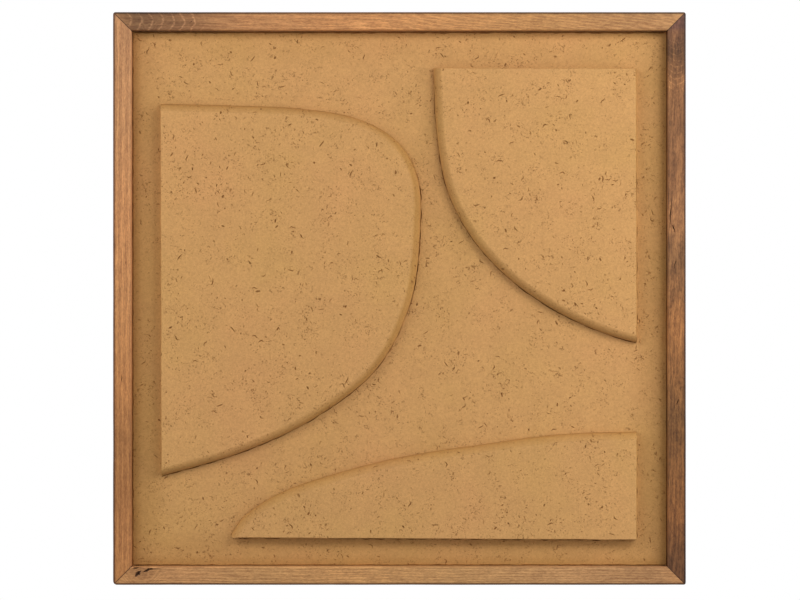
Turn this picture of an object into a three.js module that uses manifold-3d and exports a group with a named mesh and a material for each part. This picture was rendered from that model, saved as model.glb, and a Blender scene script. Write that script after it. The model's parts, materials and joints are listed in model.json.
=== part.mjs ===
// Square wall relief: three raised plates on a ground board, in a narrow mitred frame.
// Millimetres, +Z up. The relief faces -Y and the wall is the plane y = 0.
// The origin is the middle of the top rail's back, where the piece hangs on the wall.

import * as THREE from 'three';
import { mergeVertices } from 'three/addons/utils/BufferGeometryUtils.js';
import Module from 'manifold-3d';

// Frame
const PANEL_SIZE = 600;
const RAIL_WIDTH = 19;
const FRAME_DEPTH = 32;
const RAIL_ROUNDING = 1.5;

// Ground board, held between the rails
const GROUND_RECESS = 12;
const GROUND_THICKNESS = 12;

// Relief plates
const PLATE_THICKNESS = 10;
const EDGE_ROUNDING = 9;
const SIDE_CHAMFER = 0.8;
const TIP_RADIUS = 3;

// Bare ground between the frame's opening and the straight sides of the plates
const MARGIN = { left: 31, right: 32, top: 39, bottom: 29 };

// How far a straight side runs out of square from one end to the other, as set by hand
const SIDE_LEAN = 1.2;
const LOWER_PLATE_LEAN = 2.2;

// Room left between pieces that touch
const FIT_GAP = 0.3;

// Feet of the curved sides, in hundredths of the relief field from its lower left corner.
// Each runs with its plate on the left hand.
const LEFT_PLATE_EDGE = [
	[-0.1, 13.2], [16.5, 18.2], [32.1, 25.5], [45.3, 36.1], [52.2, 49.4], [54.4, 64.7],
	[53.9, 76.9], [49.8, 84.3], [41.4, 89.2], [29.1, 91.4], [14.4, 92.1], [-0.3, 92.4],
];
const UPPER_PLATE_EDGE = [
	[57.3, 100.2], [57.9, 86.9], [60.1, 74.3], [65.0, 64.5], [72.3, 56.1], [82.7, 48.6],
	[93.3, 43.6], [100.4, 41.5],
];
const LOWER_PLATE_EDGE = [
	[100.3, 22.7], [83.9, 22.1], [67.1, 19.9], [50.2, 17.2], [35.5, 13.4], [24.9, 9.6],
	[17.5, 4.8], [14.6, 0.9],
];

// Fineness of the curved surfaces
const EDGE_STEPS = 110;
const ROUNDING_STEPS = 6;
const ARRIS_STEPS = 3;

// Colours of the stained wood and of the ochre coat
const COAT_COLOUR = 0xc89661;
const RAIL_COLOURS = { top: 0xbc865a, left: 0xbb8457, bottom: 0xb3865a, right: 0x976b49 };
const COAT_ROUGHNESS = 0.9;
const WOOD_ROUGHNESS = 0.6;

const wasm = await Module();
wasm.setup();

// Measures that follow from the sizes above. Depths run from the wall towards the viewer.
const halfPanel = PANEL_SIZE / 2;
const halfOpening = halfPanel - RAIL_WIDTH;
const groundFront = FRAME_DEPTH - GROUND_RECESS;
const groundBack = groundFront - GROUND_THICKNESS;
const plateBack = groundFront + FIT_GAP;
const field = {
	left: -halfOpening + MARGIN.left,
	right: halfOpening - MARGIN.right,
	top: halfOpening - MARGIN.top,
	bottom: -halfOpening + MARGIN.bottom,
};
// Reach beyond the field of everything that is trimmed away
const overrun = Math.min(MARGIN.left, MARGIN.right, MARGIN.top, MARGIN.bottom);

// A closed geometry from merged corners and triangles, with its faces pointing out
function closedGeometry(corners, triangles) {
	let volume = 0;
	for (const [a, b, c] of triangles) {
		volume += corners[a].dot(new THREE.Vector3().crossVectors(corners[b], corners[c]));
	}
	const outward = volume < 0 ? triangles.map(([a, b, c]) => [a, c, b]) : triangles;
	const geometry = new THREE.BufferGeometry();
	geometry.setAttribute('position', new THREE.Float32BufferAttribute(corners.flatMap((p) => p.toArray()), 3));
	geometry.setIndex(outward.flat());
	geometry.computeVertexNormals();
	return geometry;
}

// A skin through rings of equally many corners, closed by a flat cap at each end
function loft(rings, flatten) {
	const count = rings[0].length;
	const triangles = [];
	for (let ring = 0; ring + 1 < rings.length; ring++) {
		for (let i = 0; i < count; i++) {
			const here = ring * count + i;
			const next = ring * count + (i + 1) % count;
			triangles.push([here, next, next + count], [here, next + count, here + count]);
		}
	}
	for (const [ring, firstEnd] of [[0, true], [rings.length - 1, false]]) {
		const outline = rings[ring].map(flatten);
		const sameWay = THREE.ShapeUtils.isClockWise(outline) === firstEnd;
		for (const face of THREE.ShapeUtils.triangulateShape(outline, [])) {
			const [a, b, c] = face.map((corner) => ring * count + corner);
			triangles.push(sameWay ? [a, b, c] : [a, c, b]);
		}
	}
	return closedGeometry(rings.flat(), triangles);
}

function toSolid(geometry) {
	const bare = geometry.clone();
	bare.deleteAttribute('normal');
	bare.deleteAttribute('uv');
	const merged = mergeVertices(bare);
	return new wasm.Manifold(new wasm.Mesh({
		numProp: 3,
		vertProperties: new Float32Array(merged.attributes.position.array),
		triVerts: new Uint32Array(merged.index.array),
	}));
}

function fromSolid(solid) {
	const mesh = solid.getMesh();
	const geometry = new THREE.BufferGeometry();
	geometry.setAttribute('position', new THREE.BufferAttribute(mesh.vertProperties, mesh.numProp));
	geometry.setIndex(new THREE.BufferAttribute(mesh.triVerts, 1));
	geometry.computeVertexNormals();
	return geometry;
}

// Section of a rail: across its width from the outer edge, and forward from the wall.
// Both front arrises are rounded.
function railSection() {
	const section = [new THREE.Vector2(0, 0)];
	const centres = [
		[new THREE.Vector2(-RAIL_ROUNDING, FRAME_DEPTH - RAIL_ROUNDING), 0],
		[new THREE.Vector2(-RAIL_WIDTH + RAIL_ROUNDING, FRAME_DEPTH - RAIL_ROUNDING), Math.PI / 2],
	];
	for (const [centre, start] of centres) {
		for (let step = 0; step <= ARRIS_STEPS; step++) {
			const turn = start + (Math.PI / 2) * (step / ARRIS_STEPS);
			section.push(new THREE.Vector2(
				centre.x + RAIL_ROUNDING * Math.cos(turn),
				centre.y + RAIL_ROUNDING * Math.sin(turn),
			));
		}
	}
	section.push(new THREE.Vector2(-RAIL_WIDTH, 0));
	return section;
}

// A rail along X with its outer edge at y = 0 and both ends cut at 45 degrees
function railGeometry() {
	const mitreGap = FIT_GAP / 2 * Math.SQRT2;
	const rings = [-1, 1].map((end) => railSection().map(
		({ x: across, y: forward }) => new THREE.Vector3(end * (halfPanel + across - mitreGap), across, forward),
	));
	return loft(rings, (corner) => new THREE.Vector2(corner.z, corner.y));
}

function groundGeometry() {
	const side = 2 * (halfOpening - FIT_GAP);
	return new THREE.BoxGeometry(side, side, GROUND_THICKNESS);
}

// The smooth foot line of a curved side, through its points in the relief field
function footCurve(shares) {
	return new THREE.CatmullRomCurve3(shares.map(([across, up]) => new THREE.Vector3(
		THREE.MathUtils.lerp(field.left, field.right, across / 100),
		THREE.MathUtils.lerp(field.bottom, field.top, up / 100),
		0,
	)), false, 'centripetal');
}

// The foot line with its inward directions, run on straight past both ends
function footSamples(curve) {
	const samples = [];
	for (let step = 0; step <= EDGE_STEPS; step++) {
		const along = curve.getTangentAt(step / EDGE_STEPS);
		samples.push({
			point: curve.getPointAt(step / EDGE_STEPS),
			along,
			inward: new THREE.Vector3(-along.y, along.x, 0),
		});
	}
	const extend = (end, sign) => ({ ...end, point: end.point.clone().addScaledVector(end.along, sign * overrun) });
	return [extend(samples[0], -1), ...samples, extend(samples.at(-1), 1)];
}

// A plate with its curved side rounded over, before its straight sides are cut.
// Far corners close the outline outside the field.
function roundedBlank(curve, farCorners) {
	const samples = footSamples(curve);
	const rounding = Math.min(EDGE_ROUNDING, PLATE_THICKNESS);
	const ring = (inset, height) => [
		...samples.map(({ point, inward }) => point.clone().addScaledVector(inward, inset).setZ(height)),
		...farCorners.map(([x, y]) => new THREE.Vector3(x, y, height)),
	];
	const rings = PLATE_THICKNESS > rounding ? [ring(0, 0)] : [];
	for (let step = 0; step <= ROUNDING_STEPS; step++) {
		const turn = (Math.PI / 2) * (step / ROUNDING_STEPS);
		rings.push(ring(
			rounding * (1 - Math.cos(turn)),
			PLATE_THICKNESS - rounding * (1 - Math.sin(turn)),
		));
	}
	return loft(rings, (corner) => new THREE.Vector2(corner.x, corner.y));
}

// The space inside the straight sides, chamfered along its front arris
function sideTrim(outline) {
	const depth = PLATE_THICKNESS + SIDE_CHAMFER;
	const geometry = new THREE.ExtrudeGeometry(new THREE.Shape(outline), {
		depth,
		bevelThickness: SIDE_CHAMFER,
		bevelSize: SIDE_CHAMFER,
		bevelOffset: -SIDE_CHAMFER,
		bevelSegments: 1,
	});
	return geometry.translate(0, 0, PLATE_THICKNESS - depth - SIDE_CHAMFER);
}

function plateGeometry(curve, farCorners, outline) {
	const blank = toSolid(roundedBlank(curve, farCorners));
	return fromSolid(blank.intersect(toSolid(sideTrim(outline))));
}

function leftPlateGeometry() {
	return plateGeometry(footCurve(LEFT_PLATE_EDGE), [], [
		new THREE.Vector2(field.left + SIDE_LEAN / 2, field.bottom),
		new THREE.Vector2(field.right, field.bottom),
		new THREE.Vector2(field.right, field.top),
		new THREE.Vector2(field.left - SIDE_LEAN / 2, field.top),
	]);
}

function upperPlateGeometry() {
	const farCorner = [field.right + overrun, field.top + overrun];
	return plateGeometry(footCurve(UPPER_PLATE_EDGE), [farCorner], [
		new THREE.Vector2(field.left, field.bottom),
		new THREE.Vector2(field.right + SIDE_LEAN / 2, field.bottom),
		new THREE.Vector2(field.right - SIDE_LEAN / 2, field.top - SIDE_LEAN / 2),
		new THREE.Vector2(field.left, field.top + SIDE_LEAN / 2),
	]);
}

// The low plate runs out to a tip on the left, where its two sides meet in a small arc
function lowerPlateGeometry() {
	const curve = footCurve(LOWER_PLATE_EDGE);
	const low = field.bottom + LOWER_PLATE_LEAN / 2;
	const alongCurve = curve.getTangent(1).negate();
	const curveEnd = curve.getPoint(1);
	const reach = (curveEnd.y - low) / alongCurve.y;
	const tip = new THREE.Vector2(curveEnd.x - reach * alongCurve.x, low);
	const tipAngle = Math.atan2(alongCurve.y, alongCurve.x);
	const tangentLength = TIP_RADIUS / Math.tan(tipAngle / 2);

	const outline = [
		new THREE.Vector2(field.right, field.bottom - LOWER_PLATE_LEAN / 2),
		new THREE.Vector2(field.right, field.top),
		new THREE.Vector2(field.left, field.top),
		new THREE.Vector2(field.left, low + tangentLength),
		new THREE.Vector2(tip.x + tangentLength * Math.cos(tipAngle), low + tangentLength * Math.sin(tipAngle)),
	];
	for (let step = 1; step <= ARRIS_STEPS; step++) {
		const turn = Math.PI / 2 + tipAngle + (Math.PI - tipAngle) * (step / ARRIS_STEPS);
		outline.push(new THREE.Vector2(
			tip.x + tangentLength + TIP_RADIUS * Math.cos(turn),
			low + TIP_RADIUS + TIP_RADIUS * Math.sin(turn),
		));
	}
	return plateGeometry(curve, [[field.right + overrun, field.bottom - overrun]], outline);
}

function pieceMesh(name, geometry, color, roughness) {
	const mesh = new THREE.Mesh(geometry, new THREE.MeshStandardMaterial({ color, roughness, metalness: 0 }));
	mesh.name = name;
	return mesh;
}

// The panel is drawn in X and Y facing the viewer along Z, then stood up on its lower edge.
const panel = new THREE.Group();
panel.rotation.x = Math.PI / 2;
panel.position.z = -(halfPanel - RAIL_WIDTH / 2);

['top', 'left', 'bottom', 'right'].forEach((side, quarter) => {
	const rail = pieceMesh(`frame_rail_${side}`, railGeometry(), RAIL_COLOURS[side], WOOD_ROUGHNESS);
	rail.position.y = halfPanel;
	const turned = new THREE.Group();
	turned.rotation.z = quarter * (Math.PI / 2);
	turned.add(rail);
	panel.add(turned);
});

const ground = pieceMesh('ground_board', groundGeometry(), COAT_COLOUR, COAT_ROUGHNESS);
ground.position.z = (groundBack + groundFront) / 2;
panel.add(ground);

const plates = {
	relief_plate_left: leftPlateGeometry(),
	relief_plate_upper_right: upperPlateGeometry(),
	relief_plate_lower: lowerPlateGeometry(),
};
for (const [name, geometry] of Object.entries(plates)) {
	const plate = pieceMesh(name, geometry, COAT_COLOUR, COAT_ROUGHNESS);
	plate.position.z = plateBack;
	panel.add(plate);
}

const wallRelief = new THREE.Group();
wallRelief.add(panel);

export default wallRelief;
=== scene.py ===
"""Looks of a square wall relief: an ochre, pitted coat on four boards and a mitred frame of stained wood."""

import json
import math

import bmesh
import bpy
from bpy.props import FloatProperty, FloatVectorProperty, IntProperty, PointerProperty
from mathutils import Euler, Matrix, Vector, noise

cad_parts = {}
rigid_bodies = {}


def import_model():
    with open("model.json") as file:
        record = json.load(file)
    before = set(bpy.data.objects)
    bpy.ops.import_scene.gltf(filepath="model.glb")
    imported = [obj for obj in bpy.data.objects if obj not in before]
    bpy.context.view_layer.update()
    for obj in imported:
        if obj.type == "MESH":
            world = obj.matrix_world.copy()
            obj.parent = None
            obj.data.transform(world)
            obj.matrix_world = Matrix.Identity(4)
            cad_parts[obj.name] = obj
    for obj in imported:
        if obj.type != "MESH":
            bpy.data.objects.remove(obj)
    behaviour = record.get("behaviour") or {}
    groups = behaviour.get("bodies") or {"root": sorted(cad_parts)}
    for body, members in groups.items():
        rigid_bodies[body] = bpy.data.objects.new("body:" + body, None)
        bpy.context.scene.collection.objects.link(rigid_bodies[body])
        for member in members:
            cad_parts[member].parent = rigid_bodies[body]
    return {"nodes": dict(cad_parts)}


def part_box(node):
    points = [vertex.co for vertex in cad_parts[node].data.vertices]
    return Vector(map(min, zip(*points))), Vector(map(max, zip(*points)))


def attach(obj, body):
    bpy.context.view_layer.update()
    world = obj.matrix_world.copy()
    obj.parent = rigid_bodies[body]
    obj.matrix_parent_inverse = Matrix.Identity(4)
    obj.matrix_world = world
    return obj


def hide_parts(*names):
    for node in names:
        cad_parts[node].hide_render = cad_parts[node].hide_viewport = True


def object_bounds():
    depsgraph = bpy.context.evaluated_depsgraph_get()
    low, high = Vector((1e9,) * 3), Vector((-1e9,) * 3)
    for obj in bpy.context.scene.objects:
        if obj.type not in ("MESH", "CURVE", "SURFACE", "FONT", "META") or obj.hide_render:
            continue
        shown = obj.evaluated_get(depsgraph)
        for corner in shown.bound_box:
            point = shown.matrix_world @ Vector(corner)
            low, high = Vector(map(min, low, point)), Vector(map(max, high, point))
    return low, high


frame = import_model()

bl_info = {
    "name": "Wall Relief Looks",
    "version": (1, 0, 0),
    "blender": (4, 5, 0),
    "location": "3D View > Sidebar > Wall Relief",
    "description": "Dresses a framed wall relief with a pitted coat, worked wood and soft studio light",
    "category": "Object",
}

BODY = "root"
RAILS = ("frame_rail_top", "frame_rail_left", "frame_rail_bottom", "frame_rail_right")
UPRIGHT_RAILS = ("frame_rail_left", "frame_rail_right")
GROUND = "ground_board"
PLATES = ("relief_plate_left", "relief_plate_upper_right", "relief_plate_lower")

# Places that follow from the frame, in metres. The viewer stands on the -Y side.
panel_low, panel_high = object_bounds()
panel_centre = (panel_low + panel_high) / 2
panel_side = panel_high.x - panel_low.x
ground_low, ground_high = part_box(GROUND)
ground_front = ground_low.y
rail_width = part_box("frame_rail_top")[1].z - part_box("frame_rail_top")[0].z

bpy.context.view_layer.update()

# The photograph in pixels: its width, the side of the frame in it, and how far
# the camera stands to the right of the frame's centre and above it
PHOTO_WIDTH = 800
SIDE_IN_PHOTO = 572.9
CAMERA_OFF_CENTRE = (0.55, -1.5)

# Meshes, in metres: how finely edges and faces are divided, and over what length an edge strays
MERGE_DISTANCE = 2e-6
COAT_EDGE_STEP = 0.009
COAT_SQUARE = 0.013
COAT_STRAY_LENGTH = 0.03
RAIL_EDGE_STEP = 0.012
RAIL_STRAY_LENGTH = 0.05
MITRE_REACH = 0.0007
COVER_REACH = 0.004
JOINT_STEP = 0.0026

# Slices lie off the panel's centre by this share of a square
SLICE_SHIFT = 0.37

# A point deeper than this under the uncut surface belongs to a cut
CUT_DEPTH = 0.00002

# In degrees: faces that count as one, and edges that are shaded sharp
FLAT_ANGLE = 0.1
COAT_SHARP_ANGLE = 38
RAIL_SHARP_ANGLE = 40

# Pits gather in clusters of this size, where the noise that places them lies within these limits
CLUSTER_SIZE = 0.017
CLUSTER_LIMITS = (0.47, 0.69)

# The seeds of two boards differ by this much
SEED_STEP = 10

# Rounding of the frame's corners as shares of the corner radius, counter-clockwise
# from the upper right. The lower left corner is worn rounder.
CORNER_SHARES = (1.0, 1.0, 1.6, 1.0)
CORNER_STEPS = 5
CHECK_STEPS = 7

FRONT = Vector((0.0, -1.0, 0.0))
WHITE = (1.0, 1.0, 1.0)


class CoatSettings(bpy.types.PropertyGroup):
    """Sizes and colours of the pitted coat"""

    colour: FloatVectorProperty(
        name="Coat colour", description="Colour of the clean coat", subtype="COLOR",
        default=(0.608, 0.327, 0.118), min=0, max=1)
    pit_colour: FloatVectorProperty(
        name="Pit colour", description="Colour deep inside a pit or a crack", subtype="COLOR",
        default=(0.250, 0.106, 0.028), min=0, max=1)
    fine_pits_per_area: FloatProperty(
        name="Fine pits per square metre", description="How thickly fine pits lie where they cluster",
        default=50000, min=0)
    coarse_pits_per_area: FloatProperty(
        name="Coarse pits per square metre", description="How thickly coarse pits lie where they cluster",
        default=14000, min=0)
    cracks_per_area: FloatProperty(
        name="Cracks per square metre", description="How many short curled cracks lie where they cluster",
        default=5200, min=0)
    fine_pit_radius: FloatProperty(
        name="Fine pit radius", description="Radius of the largest fine pit", unit="LENGTH",
        default=0.00100, min=0.0001)
    coarse_pit_radius: FloatProperty(
        name="Coarse pit radius", description="Radius of the largest coarse pit", unit="LENGTH",
        default=0.0014, min=0.0001)
    groove_radius: FloatProperty(
        name="Joint radius", description="Half the width of the open joint at the foot of a plate",
        unit="LENGTH", default=0.0008, min=0)
    rail_joint_radius: FloatProperty(
        name="Rail joint radius", description="Half the width of the open joint beside the rails",
        unit="LENGTH", default=0.00085, min=0)
    wander: FloatProperty(
        name="Edge wander", description="How far a hand-worked edge strays from its line",
        unit="LENGTH", default=0.00028, min=0)
    seed: IntProperty(name="Seed", description="Changes where the pits fall", default=11)


class FrameSettings(bpy.types.PropertyGroup):
    """Sizes of the worked wooden frame"""

    corner_radius: FloatProperty(
        name="Corner radius", description="Rounding of the frame's outer corners, seen from the front",
        unit="LENGTH", default=0.0028, min=0)
    wander: FloatProperty(
        name="Edge wander", description="How far a planed edge strays from its line",
        unit="LENGTH", default=0.00022, min=0)


class StageSettings(bpy.types.PropertyGroup):
    """Camera, floor and lights"""

    distance: FloatProperty(
        name="Camera distance", description="From the camera to the front of the frame",
        unit="LENGTH", default=2.8, min=0.5)
    side_in_view: FloatProperty(
        name="Side in view", description="Width of the frame as a share of the picture's width",
        default=SIDE_IN_PHOTO / PHOTO_WIDTH, min=0.1, max=1)
    light: FloatProperty(name="Light", description="Strength of all soft lights", default=1.02, min=0)
    ambient: FloatProperty(name="Ambient", description="Light from all round", default=0.19, min=0)


# Soft lights: place from the panel's centre, width and height, and power in watts
SOFT_LIGHTS = {
    "right_above": ((0.95, -1.10, 0.85), (0.6, 0.6), 9.6),
    "right_skimming": ((1.10, -0.42, 0.10), (0.5, 0.9), 6.6),
    "right_front": ((1.45, -1.45, 0.45), (1.1, 1.0), 3.0),
    "left_above": ((-0.95, -1.10, 0.85), (0.6, 0.6), 6.0),
    "left_skimming": ((-1.15, -0.40, 0.10), (0.5, 0.9), 4.4),
    "left_front": ((-1.50, -1.40, 0.45), (1.0, 1.0), 2.6),
    "below": ((0.0, -1.20, -1.10), (1.0, 0.5), 0.9),
}

# The floor, in metres: its side, how far its middle lies towards the viewer, and how far below the panel
FLOOR_SIDE = 24
FLOOR_TO_VIEWER = 5.0
FLOOR_BELOW = 0.9


# Nodes

def fill(tree, sockets, values):
    """Sets each socket to its value, or links it where the value is itself a socket."""
    for key, value in values.items():
        if isinstance(value, bpy.types.NodeSocket):
            tree.links.new(value, sockets[key])
        elif sockets[key].type == "RGBA" and len(value) == 3:
            sockets[key].default_value = (*value, 1.0)
        else:
            sockets[key].default_value = value


def add_node(tree, kind, inputs=None, **settings):
    """Adds a node, sets its properties and fills its sockets."""
    made = tree.nodes.new(kind)
    for name, value in settings.items():
        setattr(made, name, value)
    fill(tree, made.inputs, inputs or {})
    return made


def new_tree(name, kind, inputs, outputs):
    """A node group with its sockets, and its input and output nodes."""
    tree = bpy.data.node_groups.new(name, kind)
    for label, socket, default in inputs:
        made = tree.interface.new_socket(label, in_out="INPUT", socket_type=socket)
        if default is not None:
            made.default_value = default
    for label, socket in outputs:
        tree.interface.new_socket(label, in_out="OUTPUT", socket_type=socket)
    return tree, tree.nodes.new("NodeGroupInput").outputs, tree.nodes.new("NodeGroupOutput").inputs


def math_node(tree, operation, *values):
    return add_node(tree, "ShaderNodeMath", dict(enumerate(values)), operation=operation).outputs[0]


def product(tree, *values):
    result = values[0]
    for value in values[1:]:
        result = math_node(tree, "MULTIPLY", result, value)
    return result


def total(tree, *values):
    result = values[0]
    for value in values[1:]:
        result = math_node(tree, "ADD", result, value)
    return result


def vector_node(tree, operation, *values, output=0):
    made = add_node(tree, "ShaderNodeVectorMath", dict(enumerate(values)), operation=operation)
    return made.outputs[output]


def parts_of(tree, vector):
    return add_node(tree, "ShaderNodeSeparateXYZ", {0: vector}).outputs


def ramp(tree, value, low, high, smooth=True, ends=(0.0, 1.0)):
    """Runs from the first end to the second as the value goes from low to high."""
    return add_node(tree, "ShaderNodeMapRange", {
        "Value": value, "From Min": low, "From Max": high, "To Min": ends[0], "To Max": ends[1]},
        interpolation_type="SMOOTHSTEP" if smooth else "LINEAR").outputs["Result"]


def noise_node(tree, place, scale, detail, rough=0.5, variant=None):
    """A noise texture. With a variant it is one of many that differ."""
    inputs = {"Vector": place, "Scale": scale, "Detail": detail, "Roughness": rough}
    if variant is None:
        return add_node(tree, "ShaderNodeTexNoise", inputs)
    return add_node(tree, "ShaderNodeTexNoise", {**inputs, "W": variant}, noise_dimensions="4D")


# Meshes taken from the frame

def merged_copy(node):
    """The node's mesh with its corners merged and its flat areas made whole, as a bmesh."""
    shape = bmesh.new()
    shape.from_mesh(frame["nodes"][node].data)
    bmesh.ops.remove_doubles(shape, verts=shape.verts, dist=MERGE_DISTANCE)
    bmesh.ops.dissolve_limit(
        shape, angle_limit=math.radians(FLAT_ANGLE), verts=shape.verts, edges=shape.edges)
    return shape


def divide_long_edges(shape, step):
    by_cuts = {}
    for edge in shape.edges:
        cuts = int(edge.calc_length() / step)
        if cuts:
            by_cuts.setdefault(cuts, []).append(edge)
    for cuts, edges in by_cuts.items():
        bmesh.ops.subdivide_edges(shape, edges=edges, cuts=cuts)


def slice_into_squares(shape, step):
    """Cuts the wide faces into squares, so that no face has to hold hundreds of pits."""
    count = int(panel_side / 2 / step)
    for normal in (Vector((1, 0, 0)), Vector((0, 0, 1))):
        for i in range(-count, count + 1):
            bmesh.ops.bisect_plane(
                shape, geom=shape.verts[:] + shape.edges[:] + shape.faces[:], dist=1e-6,
                plane_co=panel_centre + normal * (i + SLICE_SHIFT) * step, plane_no=normal)
    bmesh.ops.triangulate(shape, faces=shape.faces)


def stray(shape, amount, wavelength):
    """Moves corners in the plane of the wall by smooth noise, as a hand-worked edge strays."""
    for vert in shape.verts:
        place = vert.co / wavelength
        offset = noise.noise_vector(place) + 0.5 * noise.noise_vector(place * 2.7)
        vert.co.x += amount * offset.x
        vert.co.z += amount * offset.z


def close_mitres(shape, upright):
    """Moves the cut ends of a rail onto the frame's diagonals, so that two rails meet."""
    for vert in shape.verts:
        off = vert.co - panel_centre
        if abs(abs(off.x) - abs(off.z)) > MITRE_REACH:
            continue
        if upright:
            vert.co.z = panel_centre.z + math.copysign(off.x, off.z)
        else:
            vert.co.x = panel_centre.x + math.copysign(off.z, off.x)


def mesh_object(name, shape):
    data = bpy.data.meshes.new(name)
    shape.to_mesh(data)
    shape.free()
    piece = bpy.data.objects.new(name, data)
    bpy.context.scene.collection.objects.link(piece)
    return piece


def close_rings(shape, rings):
    """Faces that make a closed solid through rings of corners."""
    shape.faces.new(rings[0])
    shape.faces.new(reversed(rings[-1]))
    for first, second in zip(rings, rings[1:]):
        for i in range(len(first)):
            j = (i + 1) % len(first)
            shape.faces.new((first[j], first[i], second[i], second[j]))


def foot_outline(node):
    """Corners of the face with which a plate lies on the ground, in order."""
    shape = merged_copy(node)
    back = max(shape.faces, key=lambda face: face.calc_area() * (face.normal.y > 0.99))
    corners = [vert.co.copy() for vert in back.verts]
    shape.free()
    return corners


def ground_outline():
    return [Vector((x, 0.0, z)) for x, z in (
        (ground_low.x, ground_low.z), (ground_high.x, ground_low.z),
        (ground_high.x, ground_high.z), (ground_low.x, ground_high.z))]


def path_object(name, outlines):
    """Closed outlines as loose edges, moved onto the front of the ground."""
    shape = bmesh.new()
    for outline in outlines:
        verts = [shape.verts.new((corner.x, ground_front, corner.z)) for corner in outline]
        for first, second in zip(verts, verts[1:] + verts[:1]):
            shape.edges.new((first, second))
    return mesh_object(name, shape)


# Geometry Nodes

def make_plain(piece):
    """Turns the piece's modifiers into its own mesh and removes them."""
    bpy.context.view_layer.update()
    evaluated = piece.evaluated_get(bpy.context.evaluated_depsgraph_get())
    data = bpy.data.meshes.new_from_object(evaluated)
    old = piece.data
    piece.modifiers.clear()
    piece.data = data
    data.name = piece.name
    bpy.data.meshes.remove(old)


def run_tree(piece, tree, values):
    """Runs a tree on the piece, with its inputs given by name, and keeps the mesh that it makes."""
    modifier = piece.modifiers.new(tree.name, "NODES")
    modifier.node_group = tree
    for item in tree.interface.items_tree:
        if item.item_type == "SOCKET" and item.in_out == "INPUT" and item.name in values:
            modifier[item.identifier] = values[item.name]
    make_plain(piece)


def object_geometry(tree, given):
    return add_node(tree, "GeometryNodeObjectInfo", {"Object": given}).outputs["Geometry"]


def position(tree):
    return add_node(tree, "GeometryNodeInputPosition").outputs[0]


def random_number(tree, seed, low=0.0, high=1.0):
    return add_node(tree, "FunctionNodeRandomValue", {
        2: low, 3: high, "Seed": seed}, data_type="FLOAT").outputs[1]


def is_greater(tree, first, second):
    return add_node(tree, "FunctionNodeCompare", {0: first, 1: second}, operation="GREATER_THAN").outputs[0]


def either(tree, first, second):
    return add_node(tree, "FunctionNodeBooleanMath", {0: first, 1: second}, operation="OR").outputs[0]


def mesh_boolean(tree, operation, first, *others):
    made = add_node(tree, "GeometryNodeMeshBoolean", operation=operation, solver="MANIFOLD")
    tree.links.new(first, made.inputs["Mesh 1" if operation == "DIFFERENCE" else "Mesh 2"])
    for other in others:
        tree.links.new(other, made.inputs["Mesh 2"])
    return made.outputs["Mesh"]


def wobbled(tree, geometry, texture, reach):
    """Moves points by a noise, by up to half the reach either way."""
    centred = vector_node(tree, "SUBTRACT", texture.outputs["Color"], (0.5, 0.5, 0.5))
    offset = vector_node(tree, "MULTIPLY", centred, reach)
    return add_node(tree, "GeometryNodeSetPosition", {"Geometry": geometry, "Offset": offset}).outputs[0]


def tube(tree, curve, radius, capped):
    profile = add_node(tree, "GeometryNodeCurvePrimitiveCircle", {"Resolution": 6, "Radius": 1.0}).outputs[0]
    return add_node(tree, "GeometryNodeCurveToMesh", {
        "Curve": curve, "Profile Curve": profile, "Scale": radius, "Fill Caps": capped}).outputs[0]


def as_choices(tree, shapes):
    """Shapes as instances of one geometry, of which each point picks one."""
    joined = add_node(tree, "GeometryNodeJoinGeometry")
    for shape in shapes:
        single = add_node(tree, "GeometryNodeGeometryToInstance", {"Geometry": shape})
        tree.links.new(single.outputs[0], joined.inputs[0])
    return joined.outputs[0]


def pit_shape(tree, fineness, variant):
    """A rough lump of radius 1."""
    lump = add_node(tree, "GeometryNodeMeshIcoSphere", {"Radius": 1.0, "Subdivisions": fineness})
    rough = noise_node(tree, position(tree), 0.9, 1.0, variant=3.7 * variant + 1.3)
    return wobbled(tree, lump.outputs["Mesh"], rough, (1.5, 1.5, 1.5))


def crack_shape(tree, bend, lean, variant):
    """A curled, tapering groove, 1 long."""
    curve = add_node(tree, "GeometryNodeCurveQuadraticBezier", {
        "Resolution": 5, "Start": (-0.5, 0.0, 0.0), "Middle": (lean * 0.5, bend, 0.0),
        "End": (0.5, lean * 0.2, 0.0)}).outputs[0]
    rough = noise_node(tree, position(tree), 5.5, 1.0, variant=5.1 * variant)
    wavy = wobbled(tree, curve, rough, (0.9, 0.9, 0.05))
    along = add_node(tree, "GeometryNodeSplineParameter").outputs["Factor"]
    arch = math_node(tree, "SINE", product(tree, along, math.pi))
    thickness = math_node(tree, "MULTIPLY_ADD", arch, 0.080, 0.022)
    return tube(tree, wavy, thickness, True)


def sown_points(tree, surface, cover, density, spacing, seed, least):
    """Points on the front and edges of a piece. Few stay in quiet areas, and many in clusters."""
    sown = add_node(tree, "GeometryNodeDistributePointsOnFaces", {
        "Mesh": surface, "Distance Min": spacing, "Density Max": density, "Seed": seed},
        distribute_method="POISSON")
    covered = add_node(tree, "GeometryNodeRaycast", {
        "Target Geometry": cover, "Ray Direction": FRONT, "Ray Length": COVER_REACH}).outputs["Is Hit"]
    patches = noise_node(tree, position(tree), 1 / CLUSTER_SIZE, 2.5, 0.6).outputs["Fac"]
    share = math_node(tree, "MAXIMUM", ramp(tree, patches, *CLUSTER_LIMITS), least)
    thinned = is_greater(tree, random_number(tree, 5), share)
    behind = is_greater(tree, parts_of(tree, sown.outputs["Normal"])["Y"], 0.3)
    dropped = either(tree, either(tree, thinned, behind), covered)
    left = add_node(tree, "GeometryNodeDeleteGeometry", {
        "Geometry": sown.outputs["Points"], "Selection": dropped}, domain="POINT")
    return left.outputs[0], sown.outputs["Rotation"]


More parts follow.
